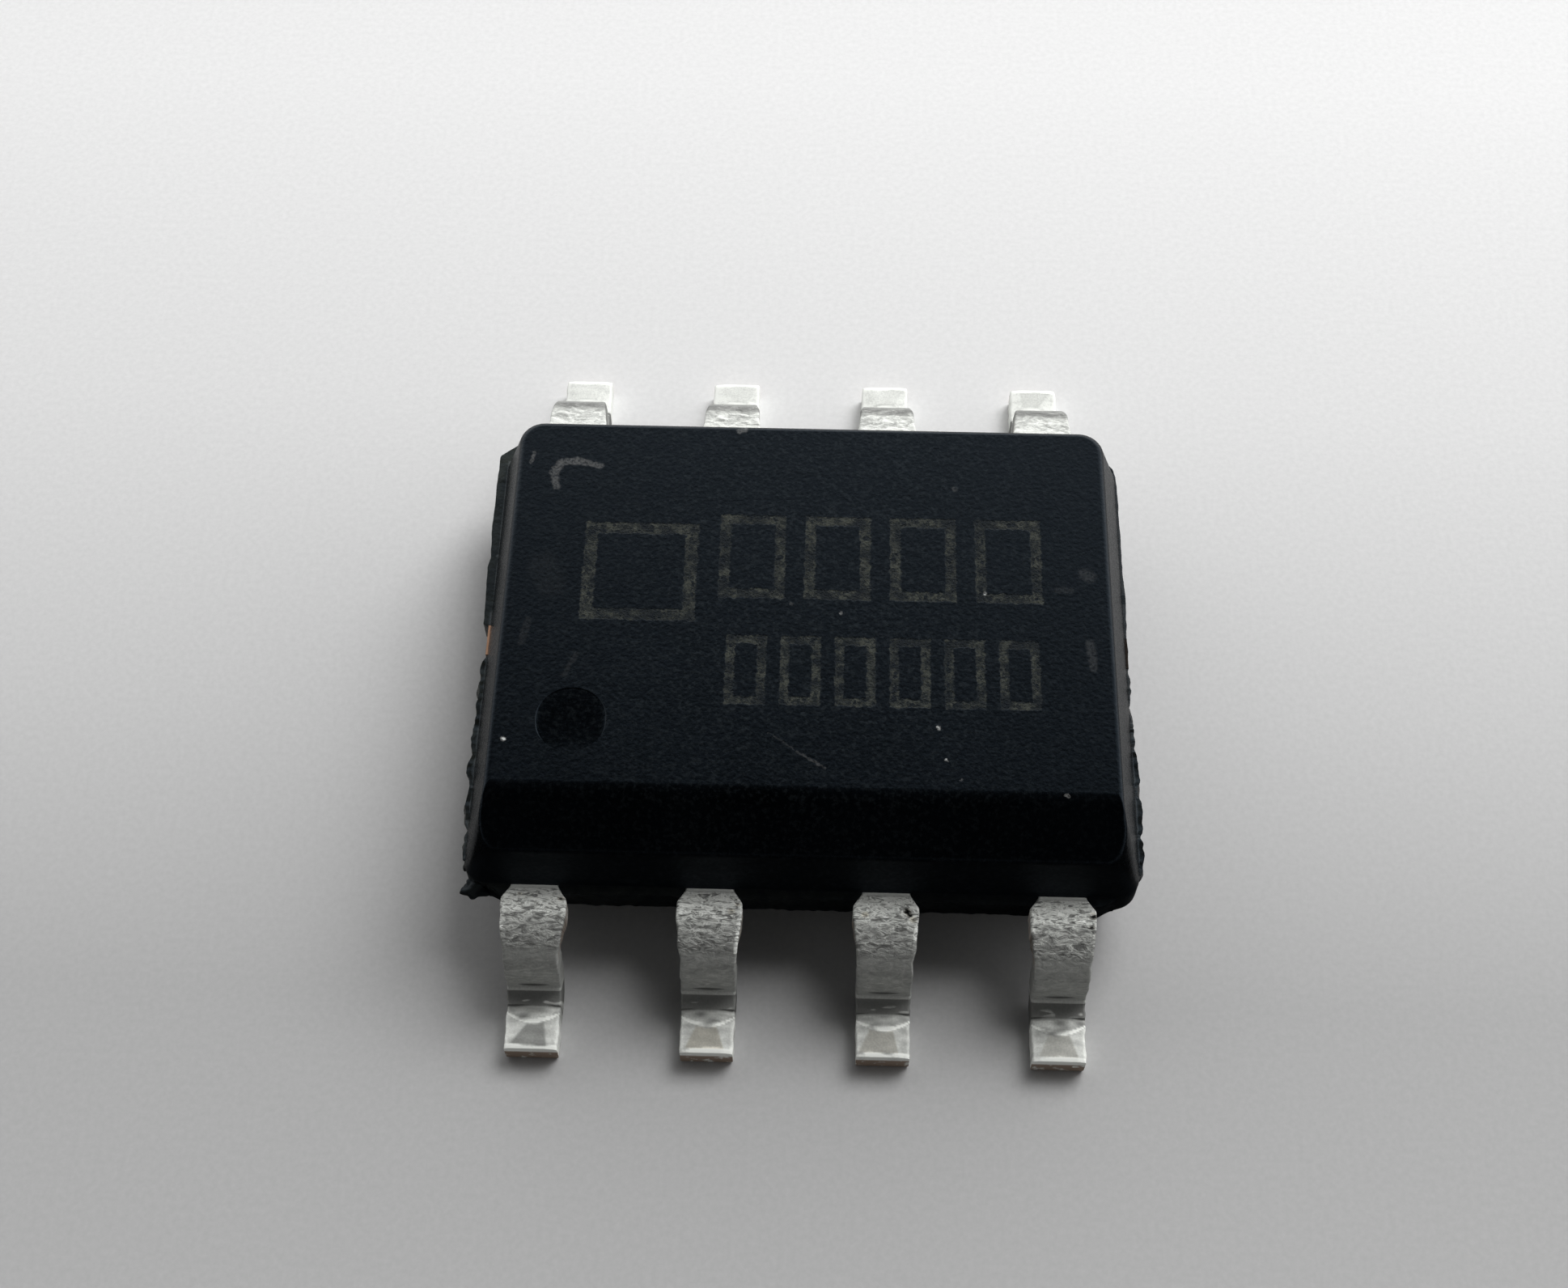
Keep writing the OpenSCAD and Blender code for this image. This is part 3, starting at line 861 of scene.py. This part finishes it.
def ranged(tree, value, low, high, to_low=0.0, to_high=1.0, smooth=False):
    inputs = {"Value": value, "From Min": low, "From Max": high, "To Min": to_low,
              "To Max": to_high}
    kind = "SMOOTHSTEP" if smooth else "LINEAR"
    return node(tree, "MapRange", inputs, interpolation_type=kind).outputs[0]


def new_material(name):
    material = bpy.data.materials.new(name)
    material.use_nodes = True
    tree = material.node_tree
    return material, tree, tree.nodes["Principled BSDF"]


def grey(value):
    return (value, value, value, 1)


# ---- Materials ----
RESIN = (0.0002, 0.0003, 0.0004, 1)
PALE_RESIN = (0.0008, 0.0011, 0.0016, 1)
RESIN_GRAIN = (0.0072, 0.0086, 0.0094, 1)
FLASH_DUST_AND_LIGHT = (0.026, 0.028, 0.023, 1)  # broken and dusty, and paler as painted light on the ledges of flash and webs
RESIN_SHEEN = (0.56, 0.77, 1.0, 1)
LASER = (0.028, 0.029, 0.022, 1)  # burnt marking
LASER_BRIGHT = (0.050, 0.051, 0.038, 1)
SCUFF = (0.085, 0.085, 0.083, 1)
DUST = (0.60, 0.62, 0.60, 1)
TIN = (0.80, 0.81, 0.77, 1)       # where it is burnished
TIN_WHITE = (0.98, 1.0, 0.95, 1)  # where it is matte
TIN_BROWN = (1.0, 0.95, 0.80, 1)
COPPER = (0.32, 0.24, 0.185, 1)  # cut and tarnished
TARNISH = (0.030, 0.024, 0.020, 1)


def new_group(name, inputs, outputs):
    """A shader node group. Its inputs and outputs are names by kind."""
    group = bpy.data.node_groups.new(name, "ShaderNodeTree")
    for way, sockets in (("INPUT", inputs), ("OUTPUT", outputs)):
        for kind, titles in sockets.items():
            for title in titles:
                group.interface.new_socket(title, in_out=way, socket_type="NodeSocket" + kind)
    return group, group.nodes.new("NodeGroupInput").outputs, group.nodes.new("NodeGroupOutput")


def place_group(tree, group, **inputs):
    return node(tree, "Group", inputs, node_tree=group).outputs


def stroke_group():
    """Mask of a straight stroke with round ends, 1 on its middle line and 0 past its width."""
    tree, given, result = new_group("stroke", {"Vector": ("Place", "Start", "End"),
                                               "Float": ("Width",)}, {"Float": ("Mask",)})
    way = vector(tree, "SUBTRACT", given["End"], given["Start"])
    off = vector(tree, "SUBTRACT", given["Place"], given["Start"])
    square = calc(tree, "MAXIMUM", vector(tree, "DOT_PRODUCT", way, way), 1e-6)
    share = calc(tree, "DIVIDE", vector(tree, "DOT_PRODUCT", off, way), square, clamp=True)
    away = vector(tree, "LENGTH", vector(tree, "SUBTRACT", off, scaled(tree, way, share)))
    inner = product(tree, given["Width"], 0.4)
    feed(tree, result, {"Mask": ranged(tree, away, given["Width"], inner, smooth=True)})
    return tree


ROW = ("Left", "Middle", "Pitch", "Count", "Half_Width", "Half_Height", "Line")


def frames_group():
    """Depth inside the lines of a row of plain upright frames, under 0 beside a line."""
    tree, given, result = new_group("frames", {"Vector": ("Place",), "Float": ROW},
                                    {"Float": ("Depth",)})
    x, y, _ = node(tree, "SeparateXYZ", {0: given["Place"]}).outputs
    run = calc(tree, "DIVIDE", calc(tree, "SUBTRACT", x, given["Left"]), given["Pitch"])
    last = calc(tree, "SUBTRACT", given["Count"], 1)
    cell = calc(tree, "MINIMUM", calc(tree, "MAXIMUM", calc(tree, "FLOOR", run), 0), last)
    middle = calc(tree, "SUBTRACT", calc(tree, "SUBTRACT", run, cell), 0.5)
    across = calc(tree, "ABSOLUTE", product(tree, middle, given["Pitch"]))
    up = calc(tree, "ABSOLUTE", calc(tree, "SUBTRACT", y, given["Middle"]))
    inside = calc(tree, "MINIMUM", calc(tree, "SUBTRACT", given["Half_Width"], across),
                  calc(tree, "SUBTRACT", given["Half_Height"], up))
    half = product(tree, given["Line"], 0.5)
    off = calc(tree, "ABSOLUTE", calc(tree, "SUBTRACT", inside, half))
    feed(tree, result, {"Depth": calc(tree, "SUBTRACT", half, off)})
    return tree


# Plain placeholder marking: a square and two rows of frames, each with the values that ROW names
MARKING = [(-1.70, 0.31, 0.92, 1, 0.43, 0.43, 0.10), (-0.72, 0.46, 0.64, 4, 0.25, 0.37, 0.085),
           (-0.62, -0.52, 0.40, 6, 0.15, 0.29, 0.070)]

# Scuffs on the top face: start and end of the stroke, width to each side, strength. The last, on
# the rear rim, is a painted glint of the bright lead behind, seen through a nick in the rim.
SCUFFS = [(-1.925, 1.065, -1.950, 1.19, 0.040, 0.80), (-1.950, 1.19, -1.90, 1.285, 0.048, 0.85),
          (-1.90, 1.285, -1.76, 1.300, 0.042, 1.0), (-1.76, 1.300, -1.60, 1.255, 0.036, 0.85),
          (-2.135, 1.28, -2.122, 1.37, 0.020, 0.8), (-2.04, -0.14, -2.07, -0.33, 0.040, 0.12),
          (-1.66, -0.42, -1.74, -0.60, 0.030, 0.12), (2.09, 0.36, 2.12, 0.34, 0.070, 0.22),
          (1.88, 0.22, 1.97, 0.21, 0.036, 0.13), (2.10, -0.24, 2.12, -0.44, 0.045, 0.24),
          (-1.96, 0.34, -1.90, 0.18, 0.160, 0.05), (-0.235, -1.033, -0.03, -1.18, 0.010, 0.22),
          (-0.03, -1.18, 0.175, -1.314, 0.014, 0.40), (-0.53, 1.62, -0.50, 1.64, 0.040, 1.3)]

# Specks of dust on the top face: place, radius, strength
SPECKS = [(1.335, 0.179, 0.024, 2.6), (0.981, -0.969, 0.022, 2.8), (1.035, -1.228, 0.020, 2.6),
          (-2.129, -1.133, 0.024, 3.6), (0.273, -0.024, 0.018, 1.5), (1.126, 1.106, 0.040, 0.4),
          (1.885, -1.481, 0.022, 1.4), (1.14, -1.38, 0.016, 1.0), (-0.10, 0.05, 0.022, 0.5)]


def largest(tree, values):
    total = values[0]
    for value in values[1:]:
        total = calc(tree, "MAXIMUM", total, value)
    return total


def marking_depth(tree, spot):
    """How deep a point of the top face lies inside the lines of the marking."""
    frames = frames_group()
    rows = [place_group(tree, frames, Place=spot, **dict(zip(ROW, row)))[0] for row in MARKING]
    return largest(tree, rows)


def scuff_mask(tree, spot):
    """All scuffs and specks of the top face, and the painted glint on its rear rim, in one mask. A
    speck is a stroke of no length.
    """
    stroke = stroke_group()
    masks = []
    for *start, x, y, width, strength in SCUFFS + [(*speck[:2], *speck) for speck in SPECKS]:
        mask = place_group(tree, stroke, Place=spot, Width=width, Start=(*start, TOP_Z),
                           End=(x, y, TOP_Z))
        masks.append(product(tree, mask[0], strength))
    return largest(tree, masks)


def resin_ground(tree, spot, across, ahead, height):
    """Colour of bare resin: black, speckled grey most in the middle of the top, and on flash and
    webs dusty and paler with painted light.
    """
    ground = mix(tree, ranged(tree, noise_of(tree, spot, 1.5, 4), 0.3, 0.7), RESIN, PALE_RESIN)
    # the speckle is strongest in the middle of the top and fainter towards its ends and its front
    worn = product(tree, ranged(tree, calc(tree, "ABSOLUTE", across), 0.8, 2.2, 1.0, 0.45),
                   ranged(tree, ahead, -1.6, -0.8, 0.6, 1.0))
    speckle = ranged(tree, noise_of(tree, spot, 27, 3, 0.6), 0.50, 0.66)
    ground = mix(tree, product(tree, speckle, worn), ground, RESIN_GRAIN)
    # painted light on the ledges of flash and webs, with their dust: paler at the left end, dimmer
    # towards the front as painted shade
    flash = product(tree, ranged(tree, height, LEAD_TOP + 0.010, LEAD_TOP + 0.002),
                    ranged(tree, across, -2.0, 2.0, 1.0, 0.25),
                    ranged(tree, ahead, FRONT_Y - 0.05, FRONT_Y + 0.4, 0.4, 1.0),
                    ranged(tree, noise_of(tree, spot, 9, 4), 0.3, 0.7, 0.4, 1.2), clamp=True)
    return mix(tree, flash, ground, FLASH_DUST_AND_LIGHT)


def burnt_colour(tree, spot, depth, fine):
    """Colour of the marking: burnt pale, faded in patches and pitted by the beam."""
    cells = node(tree, "TexVoronoi", {"Vector": spot, "Scale": 17}).outputs["Distance"]
    pit_size = ranged(tree, noise_of(tree, spot, 7, 2), 0.42, 0.66, 0.0, 0.5)
    pits = product(tree, calc(tree, "LESS_THAN", cells, pit_size),
                   ranged(tree, depth, 0.008, 0.022), 0.95)
    faded = ranged(tree, noise_of(tree, spot, 9), 0.38, 0.62, 0.85, 0.0)
    gaps = ranged(tree, noise_of(tree, spot, 30, 3, 0.7), 0.54, 0.42, 0.0, 0.8)
    burnt = mix(tree, ranged(tree, fine, 0.40, 0.62), LASER, LASER_BRIGHT)
    for bare in (faded, gaps, pits):
        burnt = mix(tree, bare, burnt, RESIN)
    return burnt


def make_resin():
    """Matte black epoxy with a fine cast grain, a burnt marking, the scuffs of the top face and a
    painted glint on its rear rim.
    """
    material, tree, shader = new_material("moulded_resin")
    spot = place_in_mm(tree)
    grain = noise_of(tree, spot, 34, 2)
    fine = noise_of(tree, spot, 48, 3, 0.7)
    across, ahead, height = node(tree, "SeparateXYZ", {0: spot}).outputs
    wander = node(tree, "TexNoise", {"Vector": spot, "Scale": 24, "Detail": 2}).outputs["Color"]
    wander = scaled(tree, vector(tree, "SUBTRACT", wander, (0.5, 0.5, 0.5)), 0.045)
    unsteady = vector(tree, "ADD", spot, wander)  # makes the edges of marks uneven

    depth = marking_depth(tree, unsteady)
    on_top = ranged(tree, height, TOP_Z - 0.02, TOP_Z - 0.005)
    mark = product(tree, ranged(tree, depth, -0.004, 0.010, smooth=True), on_top)
    colour = mix(tree, mark, resin_ground(tree, spot, across, ahead, height),
                 burnt_colour(tree, spot, depth, fine))
    # scuffs and specks, and the painted glint on the rear rim, paled like a scuff
    worn = product(tree, scuff_mask(tree, unsteady), ranged(tree, fine, 0.34, 0.60, 0.15, 1.1))
    colour = mix(tree, worn, colour, SCUFF)
    colour = mix(tree, ranged(tree, worn, 1.3, 4.0), colour, DUST)

    front = product(tree, ranged(tree, ahead, FRONT_Y + 0.12, FRONT_Y + 0.08, 0.0, 0.3),
                    ranged(tree, height, TOP_Z - CHAMFER, TOP_Z - CHAMFER - 0.03))
    rough = calc(tree, "ADD", ranged(tree, grain, 0.3, 0.7, 0.21, 0.31), front)
    rough = calc(tree, "ADD", rough, product(tree, mark, 0.25), clamp=True)
    lumps = calc(tree, "ADD", grain, product(tree, mark, ranged(tree, fine, 0.3, 0.7, -1.5, 0.5)))
    feed(tree, shader, {"Base Color": colour, "Roughness": rough, "Specular IOR Level": 0.225,
                        "Specular Tint": RESIN_SHEEN, "Normal": bumped(tree, lumps, 0.55, 0.004)})
    return material


def make_tin():
    """Tin plate. Attributes say how pale it is with its painted light and shade, how matte and
    wrinkled it is, and where brown or bare.
    """
    material, tree, shader = new_material("tin_plate")
    spot = place_in_mm(tree)
    tone_and_light, matte, brown, worn, wrinkles = [
        node(tree, "Attribute", attribute_name=name).outputs["Fac"]
        for name in ("tone_and_light", "matte", "brown", "copper", "wrinkles")]
    cloud = noise_of(tree, spot, 14)
    grain = noise_of(tree, spot, 60, 3, 0.6)

    # Wrinkles follow the lead over its bends, and are longer across than along
    flat = node(tree, "Attribute", attribute_name="flat").outputs["Vector"]
    flat = vector(tree, "MULTIPLY", flat, (13, 38, 3.7))
    folds = node(tree, "TexNoise", {"Vector": flat, "Scale": 1, "Detail": 4, "Roughness": 0.62,
                                    "Distortion": 0.9}).outputs["Fac"]
    # painted highlights on the crests of the folds and painted shade in their troughs
    fold_light_and_shade = ranged(tree, folds, 0.40, 0.62, 0.34, 1.60, smooth=True)
    # painted shade in the creases of the folds
    crease = product(tree, wrinkles, ranged(tree, folds, 0.34, 0.46, 0.45, 0.0, smooth=True))
    crest = product(tree, wrinkles, ranged(tree, folds, 0.56, 0.63, 0.0, 0.75, smooth=True))
    matte = product(tree, matte, calc(tree, "SUBTRACT", 1, crest))
    tone_and_light = product(tree, tone_and_light, ranged(tree, grain, 0.3, 0.7, 0.84, 1.12),
                   mix_value(tree, wrinkles, 1, fold_light_and_shade), clamp=True)
    pale = mix(tree, brown, mix(tree, tone_and_light, grey(0), TIN_WHITE),
               mix(tree, tone_and_light, grey(0), TIN_BROWN))
    plate = mix(tree, crease, mix(tree, matte, TIN, pale), grey(0.02))
    bare = product(tree, worn, ranged(tree, cloud, 0.32, 0.45), clamp=True)
    dull = calc(tree, "MAXIMUM", matte, bare)
    rough = calc(tree, "ADD", ranged(tree, dull, 0, 1, 0.18, 0.48),
                 ranged(tree, cloud, 0.3, 0.7, 0, 0.10))
    grained = bumped(tree, grain, 0.4, 0.003)
    folded = bumped(tree, product(tree, folds, wrinkles), 0.9, 0.028, grained)
    feed(tree, shader, {"Base Color": mix(tree, bare, plate, COPPER), "Roughness": rough,
                        "Metallic": ranged(tree, dull, 0, 1, 1, 0), "Normal": folded})
    return material


def clouded_group():
    """Two close colours in a fine pattern, which the roughness and the height follow."""
    tree, given, result = new_group(
        "clouded",
        {"Vector": ("Place",), "Float": ("Scale", "Roughness"), "Color": ("Colour", "Other")},
        {"Color": ("Colour",), "Float": ("Roughness", "Height")})
    cloud = noise_of(tree, given["Place"], given["Scale"], 4)
    rough = calc(tree, "ADD", given["Roughness"], ranged(tree, cloud, 0.3, 0.7, -0.06, 0.06))
    feed(tree, result, {"Colour": mix(tree, cloud, given["Colour"], given["Other"]),
                        "Roughness": rough, "Height": cloud})
    return tree


def make_clouded(name, group, colour, other, metallic, roughness, scale):
    """A finish from the clouded group."""
    material, tree, shader = new_material(name)
    base, rough, height = place_group(tree, group, Place=place_in_mm(tree), Scale=scale,
                                      Colour=colour, Other=other, Roughness=roughness)
    feed(tree, shader, {"Base Color": base, "Roughness": rough, "Metallic": metallic,
                        "Normal": bumped(tree, height, 0.2, 0.002)})
    return material


def tarnish(material, start, end):
    """Darkens a finish between two places along X, in millimetres."""
    tree = material.node_tree
    shader = tree.nodes["Principled BSDF"]
    across = node(tree, "SeparateXYZ", {0: place_in_mm(tree)}).outputs[0]
    bright = shader.inputs["Base Color"].links[0].from_socket
    feed(tree, shader, {"Base Color": mix(tree, ranged(tree, across, start, end), bright, TARNISH)})


# ---- Studio ----
# Grey of the paper at places along Y, in millimetres, darker towards the camera and darkest in
# front of the moulding as painted shade
FLOOR = [(-12.0, 0.85), (-7.0, 0.51), (-4.5, 0.475), (-2.5, 0.47), (0.0, 0.63), (3.0, 0.79),
         (6.8, 0.90)]
FLOOR_SIZE = 400
PANEL_PLACE = Vector((40, 50, 80))
PANEL_SIZE = 60
PANEL_POWER = 0.078


def add_floor():
    """Pale paper, greyer towards the camera as painted shade. Reflections show it dimmer near the
    leads and in front, as painted shade that only glossy rays see.
    """
    bpy.ops.mesh.primitive_plane_add(size=FLOOR_SIZE * MM, location=(0, 0, -0.002 * MM))
    floor = bpy.context.object
    floor.name = "floor"
    material, tree, shader = new_material("paper")
    spot = place_in_mm(tree)
    along_y = node(tree, "SeparateXYZ", {0: spot}).outputs[1]
    first, last = FLOOR[0][0], FLOOR[-1][0]
    curve = node(tree, "ValToRGB", {0: ranged(tree, along_y, first, last)})
    fill_ramp(curve.color_ramp, [((y - first) / (last - first), value) for y, value in FLOOR])
    away = vector(tree, "LENGTH", spot)
    # painted shade in the floor's reflections, near the moulding and in front of it
    near = ranged(tree, away, 4, 12, 0.6, 0.0)
    in_front = product(tree, ranged(tree, along_y, -1.2, -1.9, 0.0, 0.97),
                       ranged(tree, away, 120, 60))
    reflected = node(tree, "LightPath").outputs["Is Glossy Ray"]
    reflection_shade_and_fibre = product(tree, calc(tree, "MAXIMUM", near, in_front), reflected)
    # faint paper fibre, seen by all rays
    fibre = ranged(tree, noise_of(tree, spot, 22, 3, 0.6), 0.3, 0.7, 0.075, 0.0)
    reflection_shade_and_fibre = calc(tree, "MAXIMUM", reflection_shade_and_fibre, fibre)
    feed(tree, shader, {"Base Color": mix(tree, reflection_shade_and_fibre, curve.outputs[0], grey(0)), "Roughness": 0.9,
                        "Specular IOR Level": 0.1})
    coat(floor, material)


def fill_ramp(ramp, stops):
    while len(ramp.elements) < len(stops):
        ramp.elements.new(0.5)
    for element, (position, value) in zip(ramp.elements, stops):
        element.position = position
        element.color = grey(value)


CARD_AIM = Vector((-0.08, -0.50, 0.862))  # towards a dark card round the camera
WINDOW_AIM = Vector((0.42, 0.90, 0.10))
WINDOW_STRENGTH = 0.55  # how much brighter the sky is there
SKY_STRENGTH = 1.25
# Brightness of the sky from opposite the card (0) to the card (1)
SKY = [(0.0, 1.0), (0.5, 1.0), (0.66, 0.66), (0.70, 0.54), (0.735, 0.42), (0.76, 0.17),
       (0.78, 0.07), (0.86, 0.03), (1.0, 0.01)]


def light_studio():
    world = bpy.data.worlds.new("studio")
    bpy.context.scene.world = world
    world.use_nodes = True
    tree = world.node_tree
    aim = node(tree, "TexCoord").outputs["Generated"]
    toward = vector(tree, "DOT_PRODUCT", aim, CARD_AIM)
    sky = node(tree, "ValToRGB", {0: ranged(tree, toward, -1, 1)})
    fill_ramp(sky.color_ramp, SKY)
    window = vector(tree, "DOT_PRODUCT", aim, WINDOW_AIM)
    bright = ranged(tree, window, 0, 1, SKY_STRENGTH, SKY_STRENGTH * (1 + WINDOW_STRENGTH))
    feed(tree, tree.nodes["Background"], {"Color": sky.outputs[0], "Strength": bright})

    lamp = bpy.data.lights.new("panel", "AREA")
    lamp.energy = PANEL_POWER
    lamp.size = PANEL_SIZE * MM
    panel = bpy.data.objects.new("panel", lamp)
    panel.location = PANEL_PLACE * MM
    panel.rotation_euler = (-panel.location).to_track_quat("-Z", "Y").to_euler()
    panel.visible_glossy = False
    bpy.context.collection.objects.link(panel)


# ---- Scene ----
bpy.context.scene.view_settings.view_transform = "Standard"
add_camera()
light_studio()
add_floor()

finish(model_moulding(), make_resin(), "mold_body", flat_faces=True)

tin = make_tin()
blank = model_blank_lead()
for number in range(1, 2 * SIDE_LEADS + 1):
    lead = copy_of(blank, f"gull_lead_{number}")
    shape_lead(lead, number)
    turn_to_place(lead, number)
    finish(lead, tin, f"lead_{number}", smooth=50)
bpy.data.objects.remove(blank)

# The inside: two close colours, metallic, roughness and scale of the pattern
clouded = clouded_group()
copper = make_clouded("lead_frame_copper", clouded, (0.50, 0.31, 0.21, 1), (0.40, 0.23, 0.15, 1),
                      1, 0.40, 12)
glue = make_clouded("die_glue", clouded, (0.60, 0.60, 0.61, 1), (0.48, 0.48, 0.50, 1), 0, 0.5, 20)
silicon = make_clouded("silicon", clouded, (0.12, 0.13, 0.17, 1), (0.16, 0.15, 0.22, 1), 0, 0.15, 8)
gold = make_clouded("gold_wire", clouded, (0.86, 0.66, 0.26, 1), (0.80, 0.58, 0.20, 1), 1, 0.2, 30)
tarnish(copper, 2.0, 2.3)
coat(nodes["die_paddle"], copper)
coat(nodes["die_attach"], glue)
coat(nodes["die"], silicon)
for number in range(1, 2 * SIDE_LEADS + 1):
    coat(nodes[f"bond_wire_{number}"], gold)
